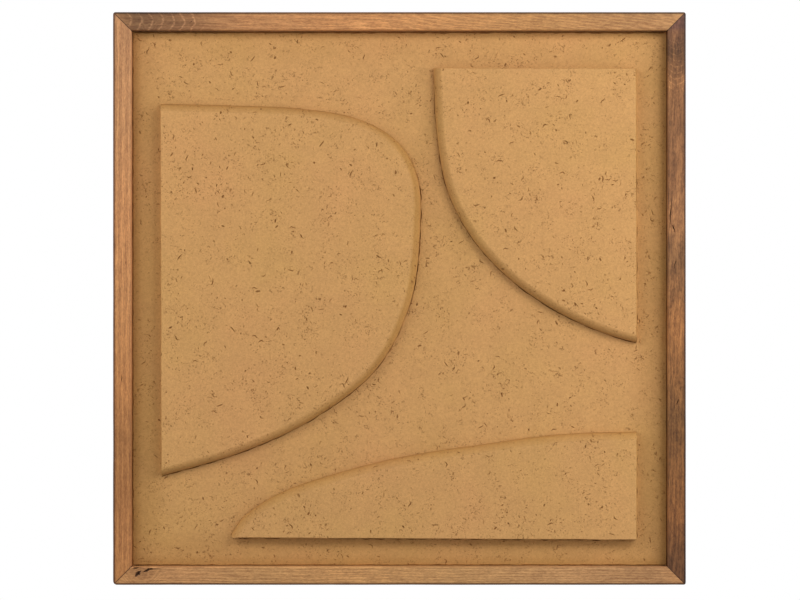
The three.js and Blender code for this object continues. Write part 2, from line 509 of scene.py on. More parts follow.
def set_on_points(tree, points, rotation, choices, scale):
    """Puts a shape on each point, turned at random about the surface's normal."""
    turn = random_number(tree, 2, 0.0, 2 * math.pi)
    about = add_node(tree, "FunctionNodeAxisAngleToRotation", {"Axis": (0.0, 0.0, 1.0), "Angle": turn})
    turned = add_node(tree, "FunctionNodeRotateRotation", {
        "Rotation": rotation, "Rotate By": about.outputs[0]}, rotation_space="LOCAL")
    return add_node(tree, "GeometryNodeInstanceOnPoints", {
        "Points": points, "Instance": choices, "Pick Instance": True,
        "Rotation": turned.outputs[0], "Scale": scale}).outputs[0]


def sown_pits(tree, given, cover, fineness, density, spacing, largest, power, seed):
    """Pits of one fineness, ready to be cut."""
    own_seed = total(tree, given["Seed"], seed)
    points, rotation = sown_points(tree, given["Geometry"], cover, density, spacing, own_seed, 0.10)
    size = math_node(tree, "POWER", random_number(tree, 3), power)
    radius = ramp(tree, size, 0.0, 1.0, smooth=False, ends=(product(tree, largest, 0.42), largest))
    stretch = add_node(tree, "FunctionNodeRandomValue", {
        0: (0.8, 0.45, 0.35), 1: (2.0, 0.9, 0.7), "Seed": 4}, data_type="FLOAT_VECTOR").outputs[0]
    scale = add_node(tree, "ShaderNodeVectorMath", {0: stretch, "Scale": radius}, operation="SCALE")
    lumps = as_choices(tree, [pit_shape(tree, fineness, variant) for variant in range(5)])
    return set_on_points(tree, points, rotation, lumps, scale.outputs[0])


def sown_cracks(tree, given, cover):
    """Short curled cracks, ready to be cut."""
    own_seed = total(tree, given["Seed"], 17.0)
    points, rotation = sown_points(
        tree, given["Geometry"], cover, given["Cracks per area"], 0.003, own_seed, 0.12)
    curls = ((0.40, 0.1), (-0.25, 0.35), (0.60, 0.6), (0.08, -0.5), (-0.50, -0.2))
    grooves = as_choices(tree, [crack_shape(tree, *curl, variant) for variant, curl in enumerate(curls)])
    return set_on_points(tree, points, rotation, grooves, random_number(tree, 8, 0.0022, 0.0076))


def groove_solid(tree, path, radius, least, upper_share, level_extra, upright_extra, rising_extra):
    """
    A tube along a path that opens the joint there. Its radius comes and goes, is less on upper
    edges, and has its own extra on level lower edges and on each of the two upright directions.
    """
    curve = add_node(tree, "GeometryNodeMeshToCurve", {"Mesh": path}).outputs[0]
    even = add_node(tree, "GeometryNodeResampleCurve", {"Curve": curve, "Length": JOINT_STEP}, mode="LENGTH")
    place = position(tree)
    reach = add_node(tree, "ShaderNodeCombineXYZ", {0: radius, 1: 0.0, 2: radius}).outputs[0]
    swayed = wobbled(tree, even.outputs[0], noise_node(tree, place, 190.0, 2.0), reach)
    coming = noise_node(tree, place, 90.0, 3.0).outputs["Fac"]
    share = ramp(tree, coming, 0.36, 0.66, smooth=False, ends=(least, 1.3))
    running = parts_of(tree, add_node(tree, "GeometryNodeInputTangent").outputs[0])
    by_side = ramp(tree, running["X"], 0.7, -0.7, smooth=False, ends=(upper_share, 1.3))
    on_level = product(tree, ramp(tree, running["X"], -0.97, -0.995), level_extra)
    on_upright = product(tree, ramp(tree, running["Z"], -0.97, -0.995), upright_extra)
    on_rising = product(tree, ramp(tree, running["Z"], 0.97, 0.995), rising_extra)
    side_share = total(tree, by_side, total(tree, on_level, total(tree, on_upright, on_rising)))
    return tube(tree, swayed, product(tree, share, side_share, radius), False)


def finish_tree(tree, mesh, uncut, material, result):
    """Marks how deep each point lies under the uncut surface, and sets the material."""
    depth = add_node(tree, "GeometryNodeProximity", {0: uncut}, target_element="FACES").outputs["Distance"]
    marked = add_node(tree, "GeometryNodeStoreNamedAttribute", {
        "Geometry": mesh, "Name": "depth", "Value": depth}, data_type="FLOAT", domain="POINT")
    real = add_node(tree, "GeometryNodeRealizeInstances", {0: marked.outputs[0]})
    dressed = add_node(tree, "GeometryNodeSetMaterial", {"Geometry": real.outputs[0], "Material": material})
    tree.links.new(dressed.outputs[0], result["Geometry"])


def pitted_coat_tree():
    """Sinks pits, curled cracks and open joints into a board."""
    tree, given, result = new_tree("Pitted coat", "GeometryNodeTree", (
        ("Geometry", "NodeSocketGeometry", None),
        ("Cover", "NodeSocketObject", None),
        ("Plate feet", "NodeSocketObject", None),
        ("Rail line", "NodeSocketObject", None),
        ("Fine pits", "NodeSocketFloat", 60000.0),
        ("Coarse pits", "NodeSocketFloat", 10000.0),
        ("Fine radius", "NodeSocketFloat", 0.0006),
        ("Coarse radius", "NodeSocketFloat", 0.0014),
        ("Cracks per area", "NodeSocketFloat", 2500.0),
        ("Joint radius", "NodeSocketFloat", 0.0008),
        ("Rail joint radius", "NodeSocketFloat", 0.001),
        ("Seed", "NodeSocketInt", 1),
        ("Coat", "NodeSocketMaterial", None),
    ), (("Geometry", "NodeSocketGeometry"),))
    board = given["Geometry"]
    cover = object_geometry(tree, given["Cover"])
    fine = sown_pits(tree, given, cover, 1, given["Fine pits"], 0.0009, given["Fine radius"], 1.5, 0.0)
    coarse = sown_pits(tree, given, cover, 2, given["Coarse pits"], 0.002, given["Coarse radius"], 1.8, 31.0)
    cracks = sown_cracks(tree, given, cover)

    # Shares of each joint's radius: the least, on upper edges, and the extras of groove_solid
    opened = board
    for path, joint, *shares in (
            ("Plate feet", "Joint radius", 0.3, 0.2, 1.1, 1.0, 0.0),
            ("Rail line", "Rail joint radius", 0.75, 1.3, 0.9, 0.0, -0.9)):
        line = object_geometry(tree, given[path])
        opened = mesh_boolean(tree, "DIFFERENCE", opened, groove_solid(tree, line, given[joint], *shares))
    cut = mesh_boolean(tree, "DIFFERENCE", opened, fine, coarse, cracks)
    finish_tree(tree, cut, board, given["Coat"], result)
    return tree


def worked_rail_tree():
    """Rounds the frame's outer corner off a rail and opens the checks in its wood."""
    tree, given, result = new_tree("Worked rail", "GeometryNodeTree", (
        ("Geometry", "NodeSocketGeometry", None),
        ("Corner block", "NodeSocketObject", None),
        ("Checks", "NodeSocketObject", None),
        ("Wood", "NodeSocketMaterial", None),
    ), (("Geometry", "NodeSocketGeometry"),))
    block = object_geometry(tree, given["Corner block"])
    rounded = mesh_boolean(tree, "INTERSECT", given["Geometry"], block)
    cut = mesh_boolean(tree, "DIFFERENCE", rounded, object_geometry(tree, given["Checks"]))
    finish_tree(tree, cut, rounded, given["Wood"], result)
    return tree


def shade(piece, sharp_angle):
    """Smooth shading with sharp rims, and flat faces kept flat right up to a rim or a rounded edge."""
    data = piece.data
    shape = bmesh.new()
    shape.from_mesh(data)
    depth = shape.verts.layers.float["depth"]
    for face in shape.faces:
        face.smooth = True
        face.tag = any(vert[depth] > CUT_DEPTH for vert in face.verts)
    for edge in shape.edges:
        faces = edge.link_faces
        edge.smooth = faces[0].tag == faces[-1].tag and edge.calc_face_angle(0.0) < sharp_angle
    shape.to_mesh(data)
    shape.free()
    flat = math.cos(math.radians(2))
    nearly_flat = math.cos(math.radians(9))
    normals = [normal.vector.copy() for normal in data.corner_normals]
    for face in data.polygons:
        limit = -1.0 if face.normal.dot(FRONT) > flat else nearly_flat
        for corner in face.loop_indices:
            if normals[corner].dot(FRONT) > limit:
                normals[corner] = FRONT
    data.normals_split_custom_set(normals)


# Materials

def new_material(name):
    """A material, its tree and the sockets of its surface."""
    material = bpy.data.materials.new(name)
    material.use_nodes = True
    tree = material.node_tree
    tree.nodes.clear()
    output = tree.nodes.new("ShaderNodeOutputMaterial")
    surface = tree.nodes.new("ShaderNodeBsdfPrincipled")
    tree.links.new(surface.outputs[0], output.inputs[0])
    return material, tree, surface.inputs


def mixed(tree, share, first, second, blend="MIX"):
    return add_node(tree, "ShaderNodeMix", {"Factor": share, 6: first, 7: second},
                    data_type="RGBA", blend_type=blend).outputs[2]


def tinted(tree, share, colour, tint):
    """The colour multiplied by the tint, as far as the share says."""
    return mixed(tree, share, colour, tint, "MULTIPLY")


def object_place(tree):
    return add_node(tree, "ShaderNodeTexCoord").outputs["Object"]


def marked_depth(tree):
    return add_node(tree, "ShaderNodeAttribute", attribute_name="depth").outputs["Fac"]


def bumped(tree, strength, distance, height):
    return add_node(tree, "ShaderNodeBump", {
        "Strength": strength, "Distance": distance, "Height": height}).outputs[0]


def stretched_noise(tree, place, scale, detail, rough=0.5):
    spread = add_node(tree, "ShaderNodeMapping", {"Vector": place, "Scale": scale}).outputs[0]
    return noise_node(tree, spread, 1.0, detail, rough).outputs["Fac"]


def coat_group():
    """Colour, height and roughness of a troweled, matt mineral coat."""
    tree, given, result = new_tree("Troweled coat", "ShaderNodeTree", (
        ("Vector", "NodeSocketVector", None),
        ("Colour", "NodeSocketColor", None),
        ("Pit colour", "NodeSocketColor", None),
        ("Depth", "NodeSocketFloat", 0.0),
        ("Glaze", "NodeSocketFloat", 0.0),
    ), (("Colour", "NodeSocketColor"), ("Height", "NodeSocketFloat"), ("Roughness", "NodeSocketFloat")))

    def cloud(scale, detail, rough=0.55):
        return noise_node(tree, given["Vector"], scale, detail, rough).outputs["Fac"]

    broad = cloud(9.0, 3.0)
    patches = cloud(38.0, 3.0)
    grain = cloud(420.0, 3.0, 0.7)
    fine = cloud(1500.0, 2.0, 0.7)
    rosy = tinted(tree, ramp(tree, broad, 0.48, 0.70), given["Colour"], (1.02, 0.99, 1.02))
    colour = tinted(tree, ramp(tree, broad, 0.50, 0.30), rosy, (0.985, 1.005, 0.96))
    for share, darker, lighter in (
            (ramp(tree, patches, 0.30, 0.70), (0.975, 0.975, 0.975), (1.025, 1.025, 1.025)),
            (ramp(tree, grain, 0.30, 0.72), (0.925, 0.912, 0.90), (1.06, 1.068, 1.08)),
            (ramp(tree, fine, 0.30, 0.70), (0.94, 0.94, 0.94), (1.06, 1.06, 1.06))):
        colour = tinted(tree, 1.0, colour, mixed(tree, share, darker, lighter))
    # Painted shade: the coat is darkened to an olive brown as far as the shade mask says
    with_painted_shade = tinted(tree, given["Glaze"], colour, (0.72, 0.68, 0.52))
    gathered = ramp(tree, cloud(58.0, 3.0, 0.6), 0.40, 0.66)
    specks = ramp(tree, cloud(520.0, 4.0, 0.62), 0.595, 0.645)
    dents = ramp(tree, cloud(270.0, 5.0, 0.66), 0.605, 0.660)
    marked = math_node(tree, "MAXIMUM", specks, dents)
    pores = product(tree, marked, total(tree, product(tree, gathered, 0.8), 0.2))
    pored = mixed(tree, product(tree, pores, 0.78), with_painted_shade, given["Pit colour"])
    deep = ramp(tree, given["Depth"], 0.00006, 0.0006)
    swell = product(tree, patches, 0.5)
    rough_skin = math_node(tree, "MULTIPLY_ADD", grain, 0.35, swell)
    height = math_node(tree, "MULTIPLY_ADD", fine, 0.12, rough_skin)
    fill(tree, result, {
        "Colour": mixed(tree, product(tree, deep, 0.8), pored, given["Pit colour"]),
        "Height": math_node(tree, "MULTIPLY_ADD", pores, -0.60, height),
        "Roughness": math_node(tree, "MULTIPLY_ADD", grain, 0.12, 0.80),
    })
    return tree


def from_centre(tree, place):
    """How far a point lies from the panel's upright and level middle lines, and its Y."""
    away = vector_node(tree, "ABSOLUTE", vector_node(tree, "SUBTRACT", place, panel_centre))
    parts = parts_of(tree, away)
    return parts["X"], parts["Z"], parts_of(tree, place)["Y"]


def painted_edge_and_channel_shade(tree, place):
    """Painted shade down the rounded edges of the plates, more on edges that face right, and on the ground
    near the rails and in the channels beside them, deeper towards the bottom.
    """
    across, upright, depth = from_centre(tree, place)
    plate_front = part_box(PLATES[0])[0].y
    down = ramp(tree, depth, plate_front + 0.0001, ground_front, smooth=False)
    facing = parts_of(tree, add_node(tree, "ShaderNodeNewGeometry").outputs["Normal"])["X"]
    # Painted shade: edges of the plates that face right are darkened further
    right_facing_shade = product(tree, ramp(tree, facing, 0.05, 0.45), 0.95)
    edge_shade = math_node(tree, "MAXIMUM", math_node(tree, "POWER", down, 0.28), right_facing_shade)
    above_ground = ramp(tree, depth, ground_front - 0.00005, ground_front - 0.00025, smooth=False)
    furthest = math_node(tree, "MAXIMUM", across, upright)
    inner = panel_side / 2 - rail_width
    # Painted shade on the ground beside the rails, wider in the channels and deeper towards the bottom
    rail_shade = product(tree, ramp(tree, furthest, inner - 0.012, inner), 0.4)
    height = parts_of(tree, place)["Z"]
    deeper_shade_below = ramp(tree, height, panel_high.z, panel_low.z, smooth=False, ends=(0.14, 0.36))
    channel_shade = product(tree, ramp(tree, furthest, inner - 0.045, inner - 0.020), deeper_shade_below)
    ground_shade = product(tree, total(tree, rail_shade, channel_shade),
                        math_node(tree, "SUBTRACT", 1.0, above_ground))
    return total(tree, product(tree, edge_shade, above_ground), ground_shade)


def coat_material(settings, group):
    material, tree, surface = new_material("ochre_coat")
    place = object_place(tree)
    coat = add_node(tree, "ShaderNodeGroup", node_tree=group)
    # The mask of painted shade on the plates' edges and beside the rails goes into the coat
    fill(tree, coat.inputs, {
        "Vector": place, "Depth": marked_depth(tree), "Glaze": painted_edge_and_channel_shade(tree, place),
        "Colour": settings.colour, "Pit colour": settings.pit_colour,
    })
    fill(tree, surface, {
        "Base Color": coat.outputs["Colour"],
        "Roughness": coat.outputs["Roughness"],
        "Normal": bumped(tree, 0.5, 0.0006, coat.outputs["Height"]),
        "Specular IOR Level": 0.25,
    })
    return material


def bare_board_material():
    """The uncoated back of the ground board."""
    material, tree, surface = new_material("bare_board")
    grain = stretched_noise(tree, object_place(tree), (90.0, 90.0, 1400.0), 4.0)
    fill(tree, surface, {
        "Base Color": mixed(tree, ramp(tree, grain, 0.3, 0.7), (0.34, 0.21, 0.11), (0.47, 0.31, 0.18)),
        "Normal": bumped(tree, 0.3, 0.0003, grain),
        "Roughness": 0.7,
    })
    return material


def wood_group():
    """Colour and height of stained softwood. The grain runs along X of the vector."""
    numbers = (
        "Ring spacing", "Wave", "Fleck", "Slant", "Blotch", "Crescents", "Crescent place",
        "Crescent reach", "Crescent spacing", "Knot size", "Knot darkness", "Rim", "Depth")
    tree, given, result = new_tree("Stained softwood", "ShaderNodeTree", (
        ("Vector", "NodeSocketVector", None),
        ("Knot", "NodeSocketVector", None),
        *((name, "NodeSocketColor", None) for name in ("Pale", "Dark", "Tone")),
        *((name, "NodeSocketFloat", 0.0) for name in numbers),
    ), (("Colour", "NodeSocketColor"), ("Height", "NodeSocketFloat")))
    place = given["Vector"]
    parts = parts_of(tree, place)
    along, across = parts["X"], parts["Z"]

    # Growth rings that drift, lean and bend round the knot
    drift = stretched_noise(tree, place, (4.0, 40.0, 40.0), 3.0)
    lean = product(tree, given["Wave"], 0.05, drift)
    to_knot = vector_node(tree, "SUBTRACT", place, given["Knot"])
    flat_to_knot = vector_node(tree, "MULTIPLY", to_knot, (1.0, 0.0, 1.0))
    reach = vector_node(tree, "LENGTH", flat_to_knot, output="Value")
    near = math_node(tree, "DIVIDE", reach, math_node(tree, "MAXIMUM", given["Knot size"], 0.0001))
    pull = ramp(tree, near, 1.0, 0.2)
    round_knot = add_node(tree, "ShaderNodeMix", {0: pull, 2: across, 3: reach}, data_type="FLOAT").outputs[0]
    slanted = product(tree, math_node(tree, "MAXIMUM", along, 0.0), given["Slant"])
    rings = math_node(tree, "DIVIDE", total(tree, round_knot, lean, slanted), given["Ring spacing"])
    band = ramp(tree, math_node(tree, "SINE", product(tree, rings, 2 * math.pi)), -0.4, 0.9)

    # Fibres
    streak = stretched_noise(tree, place, (45.0, 1300.0, 1300.0), 5.0, 0.65)
    fleck = stretched_noise(tree, place, (260.0, 420.0, 420.0), 3.0, 0.6)
    hair = stretched_noise(tree, place, (260.0, 950.0, 950.0), 4.0, 0.75)
    hairs = product(tree, ramp(tree, hair, 0.42, 0.58), 0.38)
    fibres = math_node(tree, "MULTIPLY_ADD", ramp(tree, streak, 0.40, 0.60), 0.4, hairs)
    lined = math_node(tree, "MULTIPLY_ADD", band, 0.30, fibres)
    stained = mixed(tree, lined, given["Dark"], given["Pale"])

    # Blotches, tones, flecks and the knot's heart
    blotch = stretched_noise(tree, place, (60.0, 130.0, 130.0), 4.0, 0.6)
    shade_of = mixed(tree, ramp(tree, blotch, 0.34, 0.62), (0.48, 0.44, 0.46), (1.16, 1.14, 1.12))
    blotched = mixed(tree, given["Blotch"], stained, tinted(tree, 1.0, stained, shade_of))
    toned = tinted(tree, 1.0, blotched, given["Tone"])
    spots = product(tree, ramp(tree, fleck, 0.56, 0.72), given["Fleck"])
    flecked = mixed(tree, spots, toned, tinted(tree, 1.0, toned, (0.62, 0.56, 0.56)))
    heart = product(tree, ramp(tree, near, 0.75, 0.1), given["Knot darkness"])
    knotted = tinted(tree, heart, flecked, (0.42, 0.36, 0.36))

    # Pale crescents across the grain
    bowed = product(tree, across, across, 60.0)
    turns = total(tree, math_node(tree, "DIVIDE", total(tree, along, bowed), given["Crescent spacing"]),
                  product(tree, blotch, 0.7))
    crests = ramp(tree, math_node(tree, "SINE", product(tree, turns, 2 * math.pi)), 0.68, 1.0)
    off = math_node(tree, "ABSOLUTE", math_node(tree, "SUBTRACT", along, given["Crescent place"]))
    nearby = ramp(tree, math_node(tree, "DIVIDE", off, given["Crescent reach"]), 1.0, 0.6)
    pale_share = product(tree, crests, nearby, given["Crescents"], ramp(tree, hair, 0.3, 0.6))
    ringed = mixed(tree, pale_share, knotted, tinted(tree, 1.0, knotted, (2.0, 2.15, 2.35)))

    # Dark mitre lines, painted shade along the outer rim, and open checks
    mitred_and_rim_shaded = tinted(tree, given["Rim"], ringed, (0.24, 0.20, 0.19))
    deep = product(tree, ramp(tree, given["Depth"], 0.0001, 0.0009), 0.88)
    fill(tree, result, {
        "Colour": mixed(tree, deep, mitred_and_rim_shaded, (0.085, 0.040, 0.022)),
        "Height": math_node(tree, "MULTIPLY_ADD", streak, 0.6, product(tree, fleck, 0.4)),
    })
    return tree


def mitre_lines_and_rim_shade(tree, place):
    """Dark lines where two rails meet, and painted shade along the frame's outer front edge."""
    across, upright, depth = from_centre(tree, place)
    off_mitre = math_node(tree, "ABSOLUTE", math_node(tree, "SUBTRACT", across, upright))
    furthest = math_node(tree, "MAXIMUM", across, upright)
    # Painted shade along the outer front edge of the frame
    outer = ramp(tree, furthest, panel_side / 2 - 0.0028, panel_side / 2 - 0.0013)
    in_front = ramp(tree, depth, panel_low.y + 0.004, panel_low.y + 0.001)
    return math_node(tree, "MAXIMUM", ramp(tree, off_mitre, 0.0009, 0.0003),
                     product(tree, outer, in_front, 0.95))


# The wood of each rail by the names of the group's inputs. Places are given along the rail and
# across it from its middle. A rail runs from left to right or from top to bottom.
NO_CRESCENTS = {"Crescents": 0.0, "Crescent place": 0.0, "Crescent reach": 0.01, "Crescent spacing": 0.01}
RAIL_WOOD = {
    "frame_rail_top": {
        "Pale": (0.76, 0.365, 0.138), "Dark": (0.42, 0.168, 0.060), "Ring spacing": 0.0052,
        "Wave": 0.9, "Fleck": 0.35, "Slant": 0.22, "Blotch": 0.25,
        "Knot": (-0.262, 0.0, -0.004), "Knot size": 0.010, "Knot darkness": 0.0,
        "Crescents": 0.68, "Crescent place": -0.250, "Crescent reach": 0.052, "Crescent spacing": 0.0112,
    },
    "frame_rail_left": {
        "Pale": (0.67, 0.320, 0.118), "Dark": (0.36, 0.148, 0.053), "Ring spacing": 0.0060,
        "Wave": 0.25, "Fleck": 0.20, "Slant": 0.0, "Blotch": 0.22,
        "Knot": (0.0985, 0.0, 0.004), "Knot size": 0.005, "Knot darkness": 0.0, **NO_CRESCENTS,
    },
    "frame_rail_bottom": {
        "Pale": (0.70, 0.372, 0.148), "Dark": (0.37, 0.170, 0.062), "Ring spacing": 0.0034,
        "Wave": 0.35, "Fleck": 0.45, "Slant": 0.0, "Blotch": 0.22,
        "Knot": (-0.270, 0.0, 0.002), "Knot size": 0.022, "Knot darkness": 0.35, **NO_CRESCENTS,
    },
    "frame_rail_right": {
        "Pale": (0.44, 0.205, 0.082), "Dark": (0.17, 0.070, 0.029), "Ring spacing": 0.0075,
        "Wave": 1.2, "Fleck": 0.8, "Slant": 0.06, "Blotch": 0.50,
        "Knot": (0.088, 0.0, 0.004), "Knot size": 0.012, "Knot darkness": 0.3,
        "Crescents": 0.50, "Crescent place": -0.245, "Crescent reach": 0.032, "Crescent spacing": 0.0062,
    },
}

# Broad tones of each rail from its first to its last end, each with its place along the rail
RAIL_TONES = {
    "frame_rail_top": (
        (0.00, (0.52, 0.53, 0.56)), (0.04, (0.36, 0.38, 0.42)), (0.13, (0.46, 0.46, 0.50)),
        (0.22, (0.85, 0.87, 0.90)), (0.45, (1.05, 1.06, 1.02)), (0.75, (0.87, 0.95, 0.88)),
        (0.90, (0.76, 0.83, 0.82)), (1.00, (0.75, 0.83, 0.86))),
    "frame_rail_left": (
        (0.00, (0.98, 1.04, 1.22)), (0.20, (1.03, 1.07, 1.18)), (0.35, (1.11, 1.09, 1.12)),
        (0.50, (1.06, 1.05, 1.04)), (0.66, (1.00, 0.94, 0.86)), (0.74, (0.78, 0.74, 0.66)),
        (0.83, (0.76, 0.70, 0.62)), (0.92, (0.93, 0.87, 0.80)), (1.00, (0.90, 0.85, 0.76))),
    "frame_rail_bottom": (
        (0.00, (0.90, 0.86, 0.82)), (0.12, (1.00, 0.98, 0.98)), (0.25, (0.96, 0.98, 0.95)),
        (0.40, (1.09, 1.09, 1.03)), (0.60, (0.99, 1.03, 1.00)), (0.80, (0.97, 1.00, 1.04)),
        (0.95, (0.78, 0.78, 0.82)), (1.00, (0.88, 0.84, 0.83))),
    "frame_rail_right": (
        (0.00, (0.43, 0.41, 0.65)), (0.027, (0.49, 0.46, 0.72)), (0.034, (0.72, 0.69, 0.72)),
        (0.07, (0.46, 0.44, 0.39)), (0.12, (0.94, 0.90, 0.78)), (0.20, (0.82, 0.79, 0.73)),
        (0.30, (0.91, 0.88, 0.82)), (0.36, (1.28, 1.28, 1.18)), (0.43, (0.76, 0.78, 0.73)),
        (0.55, (1.22, 1.12, 0.86)), (0.71, (0.64, 0.62, 0.47)), (0.88, (0.90, 0.79, 0.59)),
        (0.96, (0.47, 0.43, 0.39)), (1.00, (0.44, 0.39, 0.36))),
}


def wood_material(node, group):
    material, tree, surface = new_material(node.replace("frame_", "") + "_wood")
    low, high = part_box(node)
    place = object_place(tree)
    centred = vector_node(tree, "SUBTRACT", place, (low + high) / 2)
    turn = Euler((0.0, math.radians(-90.0) if node in UPRIGHT_RAILS else 0.0, 0.0))
    along = add_node(tree, "ShaderNodeMapping", {"Vector": centred, "Rotation": turn}).outputs[0]
    share = ramp(tree, parts_of(tree, along)["X"], -panel_side / 2, panel_side / 2, smooth=False)
    tone = add_node(tree, "ShaderNodeValToRGB", {"Fac": share})
    stops = tone.color_ramp.elements
    while len(stops) < len(RAIL_TONES[node]):
        stops.new(0.5)
    for stop, (at, colour) in zip(stops, RAIL_TONES[node]):
        stop.position = at
        stop.color = (*colour, 1.0)
    wood = add_node(tree, "ShaderNodeGroup", node_tree=group)
    fill(tree, wood.inputs, {
        "Vector": along, "Tone": tone.outputs["Color"], "Depth": marked_depth(tree),
        "Rim": mitre_lines_and_rim_shade(tree, place), **RAIL_WOOD[node],
    })
    fill(tree, surface, {
        "Base Color": wood.outputs["Colour"],
        "Normal": bumped(tree, 0.35, 0.0004, wood.outputs["Height"]),
        "Roughness": 0.55,
        "Specular IOR Level": 0.35,
    })
    return material


def floor_material():
    """A pale floor, brighter to the camera than the light it sends up."""
    material, tree, surface = new_material("pale_floor")
    direct = add_node(tree, "ShaderNodeLightPath").outputs["Is Camera Ray"]
    fill(tree, surface, {
        "Base Color": (0.8, 0.8, 0.8),
        "Roughness": 0.9,
        "Emission Color": WHITE,
        "Emission Strength": product(tree, direct, 0.5),
    })
    return material


# Pieces

def finish_piece(piece, node):
    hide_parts(node)
    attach(piece, BODY)


def coat_piece(settings, node, tree, material, helpers, seed):
    shape = merged_copy(node)
    divide_long_edges(shape, COAT_EDGE_STEP)
    if node != GROUND:
        stray(shape, settings.wander, COAT_STRAY_LENGTH)
    slice_into_squares(shape, COAT_SQUARE)
    piece = mesh_object("coated_" + node, shape)
    run_tree(piece, tree, {
        "Fine pits": settings.fine_pits_per_area,
        "Coarse pits": settings.coarse_pits_per_area,
        "Fine radius": settings.fine_pit_radius,
        "Coarse radius": settings.coarse_pit_radius,
        "Cracks per area": settings.cracks_per_area,
        "Joint radius": settings.groove_radius,
        "Rail joint radius": settings.rail_joint_radius,
        "Seed": settings.seed + seed,
        "Coat": material,
        **helpers,
    })
    shade(piece, math.radians(COAT_SHARP_ANGLE))
    finish_piece(piece, node)
    return piece


def cover_object():
    """The three plates as one mesh, to keep pits from being cut where nobody sees them."""
    shape = bmesh.new()
    for node in PLATES:
        shape.from_mesh(frame["nodes"][node].data)
    return mesh_object("plate_cover", shape)


class WALLRELIEF_OT_coat(bpy.types.Operator):
    """Build the ground board and the three plates with their pitted coat"""

    bl_idname = "wallrelief.coat"
    bl_label = "Build Coated Boards"

    def execute(self, context):
        settings = context.scene.relief_coat
        helpers = {
            "Cover": cover_object(),
            "Plate feet": path_object("plate_feet", [foot_outline(node) for node in PLATES]),
            "Rail line": path_object("rail_line", [ground_outline()]),
        }
        tree = pitted_coat_tree()
        material = coat_material(settings, coat_group())
        ground = coat_piece(settings, GROUND, tree, material, helpers, 0)
        ground.data.materials.append(bare_board_material())
        for face in ground.data.polygons:
            if face.normal.y > 0.9:
                face.material_index = 1
        for number, node in enumerate(PLATES, 1):
            coat_piece(settings, node, tree, material, {}, SEED_STEP * number)
        for helper in helpers.values():
            bpy.data.objects.remove(helper)
        return {"FINISHED"}


def corner_block(radius):
    """A square column with rounded edges, as wide as the frame, that the rails are trimmed to."""
    corners = []
    for quarter, share in enumerate(CORNER_SHARES):
        rounding = radius * share
        start = quarter * math.pi / 2
        reach = panel_side / 2 - rounding
        centre = Vector((math.copysign(reach, math.cos(start + 0.7)), 0.0,
                         math.copysign(reach, math.sin(start + 0.7))))
        for step in range(CORNER_STEPS + 1):
            turn = start + math.pi / 2 * step / CORNER_STEPS
            corners.append(centre + Vector((math.cos(turn), 0.0, math.sin(turn))) * rounding)
    shape = bmesh.new()
    rings = []
    for y in (panel_low.y - 0.01, panel_high.y + 0.01):
        rings.append([shape.verts.new((c.x + panel_centre.x, y, c.z + panel_centre.z)) for c in corners])
    close_rings(shape, rings)
    bmesh.ops.recalc_face_normals(shape, faces=shape.faces)
    return mesh_object("corner_block", shape)


# Checks and nicks in the wood: where each starts on the panel, in metres from its centre,
# how long it is, which way it runs in degrees, how wide and how deep it is.
CHECKS = (
    (-0.2775, -0.2915, 0.0095, 44, 0.0044, 0.0024),
    (-0.2690, -0.2868, 0.0115, 24, 0.0030, 0.0022),
    (-0.2800, -0.2830, 0.0090, 10, 0.0020, 0.0018),
    (-0.2600, -0.2830, 0.0130, -4, 0.0008, 0.0012),
    (0.2830, 0.0700, 0.0400, 87, 0.0012, 0.0014),
    (0.2890, 0.0690, 0.0100, 112, 0.0018, 0.0012),
    (0.2870, 0.0300, 0.0120, 75, 0.0009, 0.0010),
    (0.2895, -0.1120, 0.0080, 64, 0.0014, 0.0011),
    (-0.2905, -0.0900, 0.0120, 92, 0.0014, 0.0010),
    (-0.2870, 0.0350, 0.0050, 80, 0.0009, 0.0008),
    (-0.2200, 0.2890, 0.0040, 30, 0.0012, 0.0009),
)

# Checks are cut from this far in front of the wood, and sway by up to this much
CHECK_START = 0.0006
CHECK_SWAY = 0.0006


def check_cutter():
    """Slim wedges that open the checks in the rails."""
    shape = bmesh.new()
    for x, z, length, turn, width, depth in CHECKS:
        angle = math.radians(turn)
        run = Vector((math.cos(angle), 0.0, math.sin(angle)))
        side = Vector((-run.z, 0.0, run.x))
        start = Vector((panel_centre.x + x, panel_low.y - CHECK_START, panel_centre.z + z))
        rings = []
        for step in range(CHECK_STEPS + 1):
            share = step / CHECK_STEPS
            arch = math.sin(math.pi * share)
            swell = width / 2 * (0.15 + arch) * (0.8 + 0.4 * noise.noise(start * 900 + run * step))
            sway = side * CHECK_SWAY * noise.noise(start * 700 + Vector((step * 0.9, 0, 0)))
            at = start + run * length * share + sway
            floor = at + Vector((0.0, CHECK_START + depth * (0.2 + arch), 0.0))
            reach = side * swell * 1.4
            rings.append([shape.verts.new(corner) for corner in (at - reach, at + reach, floor)])
        close_rings(shape, rings)
    bmesh.ops.recalc_face_normals(shape, faces=shape.faces)
    return mesh_object("wood_checks", shape)


